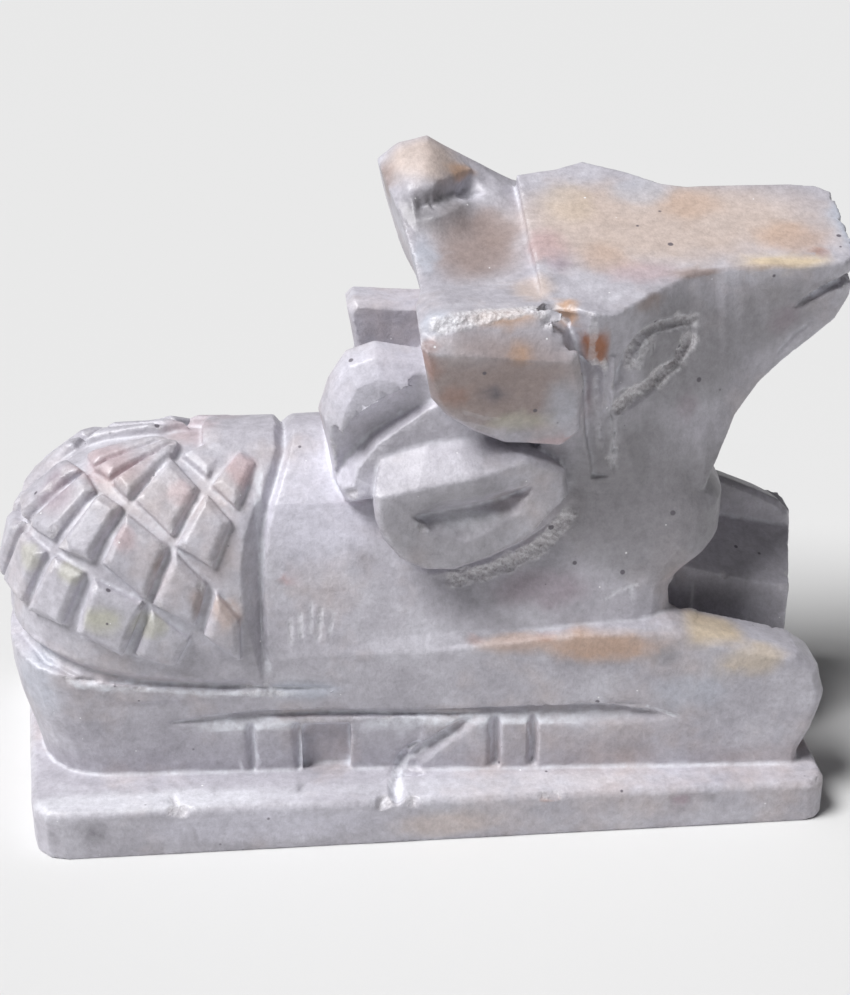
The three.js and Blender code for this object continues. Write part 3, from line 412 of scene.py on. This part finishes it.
# Each patch: tint, middle, reach along each axis, strength. Most are stains; the slate patches and a few others are
# painted shade.
patches = [
    ("sand", (24, 0.5, 58.6), (19, 11, 3.2), 0.75),
    ("cream", (15, 5, 59.3), (3, 5, 2), 0.25),
    ("ochre", (17, -4, 57), (3.2, 3, 1.5), 0.25),
    ("ochre", (27, 4.5, 59), (4, 3, 2), 0.25),
    ("ochre", (36, -1.5, 57.5), (4, 3, 2), 0.35),
    ("cream", (34.5, -5.3, 56.3), (5, 1.2, 1), 0.8),
    ("rust", (38.4, -3.9, 56.8), (0.8, 0.9, 0.8), 0.6),
    ("rose", (11.9, -1.6, 57.4), (2.5, 3.2, 1.6), 0.6),
    ("mauve", (13, -4.6, 56.6), (1.5, 1.6, 1), 0.5),
    ("blueGrey", (22.6, 7, 59.8), (3.5, 3, 2), 0.5),
    ("rose", (20.5, -6.5, 56.2), (4, 2.5, 1.4), 0.45),
    ("blueGrey", (41.8, 1, 57), (2, 6, 3.5), 0.75),
    ("sand", (1.2, 8.6, 63), (4.6, 4, 3), 0.7),
    ("ochre", (5.3, 8.8, 61.6), (2.6, 1.6, 1.2), 0.6),
    ("brown", (-2.6, 9, 61), (1.3, 2, 2.8), 0.7),
    # Painted shade: these slate and brown patches darken the concave horn scoop, over some brownish-grey stain.
    ("slateAndShade", (2.0, 4, 59.0), (4.5, 4.5, 2.4), 0.85),
    ("brown", (5.5, 1, 57.0), (5, 7, 3), 0.6),
    ("brown", (5, -1, 56), (5, 5, 3), 0.5),
    ("brown", (7.6, 3.5, 57.6), (3, 4, 2), 0.5),
    ("blueGrey", (0.4, -1, 56), (1.5, 3.2, 3), 0.6),
    ("sand", (10, -7.5, 55.3), (2.2, 3.2, 1.5), 0.6),
    ("blueGrey", (0.8, -13.5, 54.3), (2.4, 2, 1.4), 0.6),
    ("ochre", (6.5, -13.3, 54.8), (3.8, 1.5, 0.8), 0.55),
    # Brown-grey stain on the ear's face, darkened further as painted shade.
    ("brown", (6, -14.5, 48.2), (9, 2.5, 6.6), 0.8),
    ("rust", (-0.4, -15, 51), (1.2, 1, 3), 0.45),
    ("rust", (2, -14.2, 47.2), (1.6, 1, 1.5), 0.3),
    ("coal", (5.8, -14.3, 47.6), (1.3, 1, 1.1), 0.85),
    ("blueGrey", (12, -14, 46.5), (2.2, 1.2, 4.5), 0.55),
    ("ochre", (7.8, -14.9, 52.1), (1.5, 1, 1.2), 0.45),
    ("olive", (8.2, -13.4, 44.2), (3.5, 1, 1.1), 0.45),
    ("rose", (12.1, -12.7, 41.8), (3, 1, 0.6), 0.6),
    ("mauve", (15.1, -9.8, 46), (0.6, 1.2, 4.5), 0.6),
    ("rust", (15.3, -11.8, 51.3), (1.5, 1.6, 2.5), 0.95),
    ("ochre", (12.9, -11.2, 54.2), (1.6, 1.6, 1.3), 0.7),
    ("brown", (20.5, -9.9, 54.4), (3.6, 1.2, 1.0), 0.7),
    ("brown", (26, -6.6, 55.9), (3.6, 1, 0.5), 0.75),
    ("brown", (32, -5.7, 56), (4, 0.8, 0.4), 0.4),
    # Painted shade: slate over the cheek and the side of the muzzle, which face downward.
    ("slateAndShade", (25, -8.2, 48.8), (12, 3.2, 7.2), 0.8),
    ("slateAndShade", (33.5, -5.4, 51), (6, 2.5, 4.6), 0.65),
    ("mauve", (35, -5, 50), (2, 1, 2), 0.35),
    # Painted shade: coal darkens the mouth's groove.
    ("coal", (39.3, -4.5, 54), (2.6, 1.5, 0.9), 0.6),
    # Painted shadow: slate darkens the neck under the head.
    ("slateAndShade", (20.5, -10.8, 35), (10, 3, 10), 0.9),
    ("slateAndShade", (27.5, -8, 33), (4.5, 7, 7), 0.7),
    ("mauve", (25.5, -8.5, 43), (1.5, 1, 1.5), 0.3),
    # Stain, with the head's shadow painted on the collar's near face.
    ("slateAndShade", (2.5, -14, 33.6), (10, 1.4, 6), 0.55),
    ("chalk", (3.4, -12.6, 33.7), (4.2, 0.9, 0.9), 0.6),
    # Painted shadow of the head on the far foreleg's top, and painted shade between the forelegs.
    ("slateAndShade", (32, 4, 29), (6, 6, 2.5), 0.7),
    ("slateAndShade", (31, -5, 19.6), (5.5, 4, 2.6), 0.3),
    ("lilac", (-5.5, -9.8, 47), (5, 4, 4.5), 0.6),
    ("mauve", (-7.2, -8.8, 34.3), (1.8, 1.3, 1), 0.75),
    ("lilac", (-11, -8.6, 34), (6.5, 6.5, 8), 0.65),
    ("rose", (-13.8, -10.7, 26.8), (0.9, 1, 0.8), 0.7),
    ("mauve", (11, -11.5, 25), (5.5, 2, 2.4), 0.45),
    # Painted shade on the lower neck, under the head.
    ("slateAndShade", (21, -11.6, 27), (5, 1.5, 2), 0.6),
    ("ochre", (17, -13.8, 19.6), (7, 2, 2.1), 0.6),
    ("ochre", (8.5, -13.3, 19.8), (4.5, 1.5, 1.2), 0.4),
    ("rust", (4.3, -12.9, 20.4), (1.3, 1, 0.6), 0.35),
    ("rust", (11.3, -13.2, 20.5), (1.2, 1, 0.6), 0.3),
    ("cream", (28.5, -12, 20), (5, 3, 1.8), 0.7),
    ("cream", (32, -14, 17.4), (4.5, 1.5, 2), 0.5),
    ("slateAndShade", (23.3, -14.1, 18.3), (1.3, 1, 1.4), 0.6),
    ("blueGrey", (26, -14.1, 13.8), (4.5, 1, 2.5), 0.45),
    ("rose", (-31, -4, 37), (4.8, 4, 1.7), 0.5),
    ("rose", (-22, 1.5, 37.8), (4.5, 4, 1.5), 0.35),
    ("rose", (-18.3, -6.5, 37), (1.8, 2.6, 2), 0.55),
    ("mauve", (-36, -5, 34), (2.2, 3, 3), 0.5),
    ("rose", (-29.4, -11.2, 32.4), (1.3, 1.2, 1.6), 0.45),
    ("brown", (-26, -12.2, 30), (0.9, 1.2, 1.6), 0.6),
    ("brown", (-22.7, -13.1, 26), (1, 1.2, 1.7), 0.6),
    ("rose", (-24.2, -8.2, 35.8), (1.6, 1.6, 1.2), 0.4),
    ("olive", (-34.4, -11.5, 29.4), (1.8, 1.5, 1.7), 0.5),
    ("olive", (-38.9, -8.6, 29.7), (1.6, 2, 2), 0.45),
    ("olive", (-32, -13.4, 24.9), (2.4, 1, 1.7), 0.65),
    ("olive", (-27.5, -13.4, 24), (2.2, 1, 1.9), 0.5),
    ("ochre", (-19.9, -13.1, 25.2), (1.7, 1.2, 3.4), 0.35),
    ("blueGrey", (-39, -9.5, 16), (3.2, 3, 4.5), 0.5),
    ("blueGrey", (-13, -12.7, 15.3), (4.5, 1, 1.2), 0.6),
    ("chalk", (-28, -16.4, 5.5), (17, 2, 0.7), 0.55),
    ("chalk", (5, -16, 5), (25, 2, 0.6), 0.25),
    ("lilac", (-17, -18.1, 3), (14, 0.6, 2.2), 0.6),
    ("sand", (1, -18.1, 2), (6, 0.6, 1.7), 0.5),
    ("coal", (-34.1, -18.1, 3.3), (1.5, 0.6, 1.1), 0.6),
    ("coal", (-28.7, -18.1, 2.6), (0.45, 0.5, 0.35), 0.8),
    ("coal", (-18.2, -18.1, 3.0), (0.8, 0.5, 0.33), 0.8),
    ("coal", (-38.2, -17.6, 2.8), (0.7, 0.7, 0.3), 0.5),
    ("coal", (-13.6, -15.7, 5.3), (0.6, 0.7, 0.5), 0.6),
    ("rust", (11.5, -18.1, 4.3), (1.2, 0.6, 0.35), 0.6),
    ("mauve", (24.9, -18.1, 3.5), (1.3, 0.6, 0.9), 0.7),
    ("coal", (28.5, -18.1, 3.8), (0.45, 0.5, 0.35), 0.7),
    ("sand", (-8, 12, 30), (9, 5, 6), 0.4),
    ("ochre", (18, 13.8, 18), (8, 2, 2.4), 0.35),
    ("rose", (-30, 11, 30), (6, 4, 5), 0.4),
    ("slateAndShade", (22, 9, 34), (8, 4, 9), 0.5),
]


def stainAndShadePoints(points):
    # The patches wander in outline, and each one covers those before it.
    wander = np.stack([0.55 * softNoise(points, 2.4, 31 + k) + 0.22 * softNoise(points, 0.8, 41 + k) for k in range(3)], 1)
    tint = np.zeros((len(points), 4))
    for name, middle, reach, strength in patches:
        some = pointsNear(points, [middle], np.array(reach) * 1.25 + 0.8)
        fine = min(min(reach), 1.5) / 1.5
        offset = (points[some] + fine * wander[some] - np.array(middle)) / np.array(reach)
        share = strength * (1 - smoothStep(0.5, 1.15, np.linalg.norm(offset, axis=1)))
        under = tint[some, 3] * (1 - share)
        total = under + share
        colour = np.array(linearColour(tints[name])[:3])
        mixed = tint[some, :3] * under[:, None] + colour * share[:, None]
        tint[some, :3] = mixed / np.maximum(total, 1e-6)[:, None]
        tint[some, 3] = total
    return tint


def keepMask(mesh, name, values):
    layer = mesh.attributes.new(name, "FLOAT", "POINT")
    layer.data.foreach_set("value", np.ascontiguousarray(values, dtype=np.float32))


def keepTint(mesh, name, colours):
    layer = mesh.attributes.new(name, "FLOAT_COLOR", "POINT")
    layer.data.foreach_set("color", np.ascontiguousarray(colours, dtype=np.float32).ravel())


def workByHand(blank):
    mesh = blank.data
    rings = ringsOf(edgesOf(mesh), len(mesh.vertices))
    points = eased(pointsOf(mesh), rings, carving["edgeRounds"])
    rubTogether(points, rings)
    setPoints(mesh, points)
    normals = eased(normalsOf(mesh), rings, 8)
    normals /= np.linalg.norm(normals, axis=1)[:, None]
    fresh, powder = makeCuts(points, normals, rings)
    stray = carving["waver"] * softNoise(points, 5.0, 11) + carving["ripple"] * softNoise(points, 1.4, 12)
    footed = smoothStep(0.05, 0.6, points[:, 2])  # the underside stays flat
    points += normals * (stray * footed)[:, None]
    sharp = ((points - eased(points, rings, 12)) * normals).sum(1)
    broken = chipEdges(points, normals, sharp)
    setPoints(mesh, points)
    normals = normalsOf(mesh)
    rise = ((points - eased(points, rings, 40)) * normals).sum(1)
    bar = np.linalg.norm((points - np.array((5.5, 0.8, 57.0))) / np.array((8.0, 11.0, 5.0)), axis=1)
    keepMask(mesh, "hollow", np.maximum(powder, smoothStep(0.03, 0.26, -rise) * smoothStep(0.6, 1.3, bar)))
    keepMask(mesh, "worn", smoothStep(0.05, 0.3, rise))
    keepMask(mesh, "fresh", np.maximum(fresh, 0.6 * broken))
    # This colour attribute holds the stain colours and the painted shade.
    keepTint(mesh, "stain", stainAndShadePoints(points))


def thin(blank):
    triangles = sum(len(p.vertices) - 2 for p in blank.data.polygons)
    decimate = blank.modifiers.new("thin", "DECIMATE")
    decimate.ratio = carving["triangles"] / triangles
    afterModifiers(blank)


def brushOff(blank):
    # Crumbs that the cutting left loose go, and the largest body stays.
    shape = bmesh.new()
    shape.from_mesh(blank.data)
    bodies = []
    left = set(shape.verts)
    while left:
        body = {left.pop()}
        rim = body
        while rim:
            rim = {edge.other_vert(point) for point in rim for edge in point.link_edges} - body
            body |= rim
        left -= body
        bodies.append(body)
    bodies.sort(key=len)
    crumbs = [point for body in bodies[:-1] for point in body]
    bmesh.ops.delete(shape, geom=crumbs, context="VERTS")
    shape.to_mesh(blank.data)
    shape.free()
    print("crumbs brushed off:", len(bodies) - 1, "with", len(crumbs), "points")


# Soapstone, cut with chisel and file and rubbed smooth: pale grey with a lilac cast, dull in the
# cuts where its own powder clings, and waxy where it has been handled.
soapstone = {
    "pale": "#cac8d1",
    "middle": "#bebbc4",
    "dark": "#b0adb6",
    "warm": "#c8b4aa",
    "powder": "#eceef6",
    "speck": "#5a545e",
    "fleck": "#f4f3f6",
    "shard": "#a79ea2",
    "ior": 1.56,
    "handled": 0.33,
    "dull": 0.5,
    "raw": 0.8,
    "cloud": 5.0,  # millimetres across, and so on down to the grain
    "warmth": 14.0,
    "specks": 2.4,
    "flecks": 1.3,
    "grain": 0.45,
    "crystals": 0.42,
}


def carvedSoapstone():
    stone = soapstone
    material = bpy.data.materials.new("carved_soapstone")
    material.use_nodes = True
    tree = material.node_tree
    tree.nodes.clear()
    at = (addNode(tree, "ShaderNodeTexCoord"), "Object")
    masks = {name: addNode(tree, "ShaderNodeAttribute", {"attribute_name": name})
             for name in ("hollow", "worn", "fresh", "stain")}
    cloud = addNode(tree, "ShaderNodeTexNoise", None, {
        "Vector": at, "Scale": 1 / (stone["cloud"] * mm), "Detail": 6.0, "Roughness": 0.6, "Distortion": 0.4})
    body = addNode(tree, "ShaderNodeValToRGB", None, {"Fac": (cloud, "Fac")})
    ramp = body.color_ramp
    ramp.elements[0].position, ramp.elements[0].color = 0.33, linearColour(stone["dark"])
    ramp.elements[1].position, ramp.elements[1].color = 0.67, linearColour(stone["pale"])
    ramp.elements.new(0.5).color = linearColour(stone["middle"])
    warmth = addNode(tree, "ShaderNodeTexNoise", None, {
        "Vector": at, "Scale": 1 / (stone["warmth"] * mm), "Detail": 4.0, "Roughness": 0.65})
    warmShare = addNode(tree, "ShaderNodeMapRange", None, {
        "Value": (warmth, "Fac"), "From Min": 0.5, "From Max": 0.75, "To Max": 0.5})
    warmed = addNode(tree, "ShaderNodeMix", {"data_type": "RGBA"}, {
        0: (warmShare, 0), 6: (body, "Color"), 7: linearColour(stone["warm"])})

    # Patches, stains and painted shade alike, keep a little of the clouding under them.
    stainedAndShaded = addNode(tree, "ShaderNodeMix", {"data_type": "RGBA"}, {
        0: (masks["stain"], "Alpha"), 6: (warmed, 2), 7: (masks["stain"], "Color")})
    mottle = addNode(tree, "ShaderNodeTexNoise", None, {
        "Vector": at, "Scale": 1 / (0.9 * mm), "Detail": 6.0, "Roughness": 0.8})
    shadeShare = addNode(tree, "ShaderNodeMapRange", None, {
        "Value": (mottle, "Fac"), "From Min": 0.25, "From Max": 0.75, "To Min": 0.74, "To Max": 1.22})
    mottled = addNode(tree, "ShaderNodeVectorMath", {"operation": "SCALE"}, {
        0: (stainedAndShaded, 2), "Scale": (shadeShare, 0)})

    # Powder lies in the cuts, thinner here and there.
    dust = addNode(tree, "ShaderNodeTexNoise", None, {
        "Vector": at, "Scale": 1 / (1.0 * mm), "Detail": 4.0, "Roughness": 0.65})
    dustShare = addNode(tree, "ShaderNodeMapRange", None, {
        "Value": (dust, "Fac"), "From Min": 0.3, "From Max": 0.65, "To Min": 0.15, "To Max": 0.95})
    powderShare = addNode(tree, "ShaderNodeMath", {"operation": "MULTIPLY", "use_clamp": True}, {
        0: (masks["hollow"], "Fac"), 1: (dustShare, 0)})
    powdered = addNode(tree, "ShaderNodeMix", {"data_type": "RGBA"}, {
        0: (powderShare, 0), 6: (mottled, 0), 7: linearColour(stone["powder"])})

    # Broken stone shows crystals, some white and some dark.
    crystals = addNode(tree, "ShaderNodeTexVoronoi", None, {
        "Vector": at, "Scale": 1 / (stone["crystals"] * mm)})
    shards = addNode(tree, "ShaderNodeTexNoise", None, {
        "Vector": at, "Scale": 1 / (0.5 * mm), "Detail": 5.0, "Roughness": 0.75, "Distortion": 1.5})
    crystalTone = addNode(tree, "ShaderNodeValToRGB", None, {"Fac": (shards, "Fac")})
    ramp = crystalTone.color_ramp
    ramp.elements[0].position, ramp.elements[0].color = 0.32, linearColour(stone["shard"])
    ramp.elements[1].position, ramp.elements[1].color = 0.66, linearColour(stone["fleck"])
    freshShare = addNode(tree, "ShaderNodeMath", {"operation": "MULTIPLY", "use_clamp": True}, {
        0: (masks["fresh"], "Fac"), 1: 0.75})
    broken = addNode(tree, "ShaderNodeMix", {"data_type": "RGBA"}, {
        0: (freshShare, 0), 6: (powdered, 2), 7: (crystalTone, "Color")})
    # High edges are bruised pale.
    bruise = addNode(tree, "ShaderNodeMapRange", None, {
        "Value": (mottle, "Fac"), "From Min": 0.4, "From Max": 0.65, "To Max": 0.55})
    bruiseShare = addNode(tree, "ShaderNodeMath", {"operation": "MULTIPLY"}, {
        0: (bruise, 0), 1: (masks["worn"], "Fac")})
    bruised = addNode(tree, "ShaderNodeMix", {"data_type": "RGBA"}, {
        0: (bruiseShare, 0), 6: (broken, 2), 7: linearColour(stone["powder"])})

    # Dark specks and white flecks, in one cell out of a few.
    coloured = bruised
    for size, code, rarity, radius in ((stone["specks"], stone["speck"], 0.7, 0.13), (stone["flecks"], stone["fleck"], 0.8, 0.11)):
        cells = addNode(tree, "ShaderNodeTexVoronoi", None, {"Vector": at, "Scale": 1 / (size * mm)})
        parts = addNode(tree, "ShaderNodeSeparateColor", None, {"Color": (cells, "Color")})
        chosen = addNode(tree, "ShaderNodeMapRange", None, {
            "Value": (parts, 0), "From Min": rarity, "From Max": 1.0, "To Max": radius})
        inside = addNode(tree, "ShaderNodeMath", {"operation": "SUBTRACT"}, {0: (chosen, 0), 1: (cells, "Distance")})
        share = addNode(tree, "ShaderNodeMapRange", None, {
            "Value": (inside, 0), "From Min": -0.01, "From Max": 0.03, "To Max": 0.85})
        coloured = addNode(tree, "ShaderNodeMix", {"data_type": "RGBA"}, {
            0: (share, 0), 6: (coloured, 2), 7: linearColour(code)})

    polish = addNode(tree, "ShaderNodeMapRange", None, {
        "Value": (masks["worn"], "Fac"), "To Min": stone["dull"], "To Max": stone["handled"]})
    roughness = addNode(tree, "ShaderNodeMix", {"data_type": "FLOAT"}, {
        0: (powderShare, 0), 2: (polish, 0), 3: stone["raw"]})
    grain = addNode(tree, "ShaderNodeTexNoise", None, {
        "Vector": at, "Scale": 1 / (stone["grain"] * mm), "Detail": 4.0, "Roughness": 0.6})
    grainBump = addNode(tree, "ShaderNodeBump", None, {
        "Strength": 0.5, "Distance": 0.00012, "Height": (grain, "Fac")})
    crystalHeight = addNode(tree, "ShaderNodeMath", {"operation": "MULTIPLY"}, {
        0: (crystals, "Distance"), 1: (masks["fresh"], "Fac")})
    crystalBump = addNode(tree, "ShaderNodeBump", None, {
        "Strength": 0.4, "Distance": 0.0003, "Height": (crystalHeight, 0), "Normal": (grainBump, "Normal")})
    shader = addNode(tree, "ShaderNodeBsdfPrincipled", None, {
        "Base Color": (coloured, 2), "Roughness": (roughness, 0), "Normal": (crystalBump, "Normal"),
        "IOR": stone["ior"], "Coat Weight": 0.12, "Coat Roughness": 0.25})
    addNode(tree, "ShaderNodeOutputMaterial", None, {"Surface": (shader, "BSDF")})
    return material


studio = {
    "floorSize": 6000,
    "floor": "#dddddd",
    "sky": 0.1,
    "sunFrom": (-0.52, -0.18, 0.83),
    "sun": 3.9,
    "sunSpread": 0.5,
}
camera = {
    "place": (-14.762, -173.551, 118.636),
    "towards": (0.0777, 0.8876, -0.4540),
    "lens": 68.744,  # for a 36 mm film along the picture's long side
}


def makeFloor():
    half = studio["floorSize"] / 2 * mm
    mesh = bpy.data.meshes.new("floor")
    mesh.from_pydata([(-half, -half, 0), (half, -half, 0), (half, half, 0), (-half, half, 0)], [], [(0, 1, 2, 3)])
    floor = bpy.data.objects.new("floor", mesh)
    bpy.context.scene.collection.objects.link(floor)
    material = bpy.data.materials.new("matt_white_board")
    material.use_nodes = True
    shader = material.node_tree.nodes["Principled BSDF"]
    shader.inputs["Base Color"].default_value = linearColour(studio["floor"])
    shader.inputs["Roughness"].default_value = 0.9
    shader.inputs["Specular IOR Level"].default_value = 0.1
    mesh.materials.append(material)


def lightStudio():
    world = bpy.data.worlds.new("studio")
    world.use_nodes = True
    world.node_tree.nodes["Background"].inputs["Color"].default_value = (1, 1, 1, 1)
    world.node_tree.nodes["Background"].inputs["Strength"].default_value = studio["sky"]
    bpy.context.scene.world = world
    light = bpy.data.lights.new("ceiling_light", "SUN")
    light.energy = studio["sun"]
    light.angle = studio["sunSpread"]
    lamp = bpy.data.objects.new("ceiling_light", light)
    lamp.rotation_euler = Vector(studio["sunFrom"]).to_track_quat("Z", "Y").to_euler()
    bpy.context.scene.collection.objects.link(lamp)
    bpy.context.scene.view_settings.view_transform = "Standard"


def placeCamera():
    data = bpy.data.cameras.new("camera")
    data.lens = camera["lens"]
    data.sensor_width = 36
    data.clip_start = 0.01
    eye = bpy.data.objects.new("camera", data)
    eye.location = Vector(camera["place"]) * mm
    eye.rotation_euler = Vector(camera["towards"]).to_track_quat("-Z", "Y").to_euler()
    bpy.context.scene.collection.objects.link(eye)
    bpy.context.scene.camera = eye


bull = cutBlank()
print("blank cut:", len(bull.data.vertices), "points")
workByHand(bull)
print("worked by hand")
thin(bull)
brushOff(bull)
print("carved:", len(bull.data.polygons), "faces, attributes", [a.name for a in bull.data.attributes])
bull.data.materials.append(carvedSoapstone())
bull.data.polygons.foreach_set("use_smooth", [True] * len(bull.data.polygons))
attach(bull, "root")
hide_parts(carving["node"])
makeFloor()
lightStudio()
placeCamera()
print("studio ready")
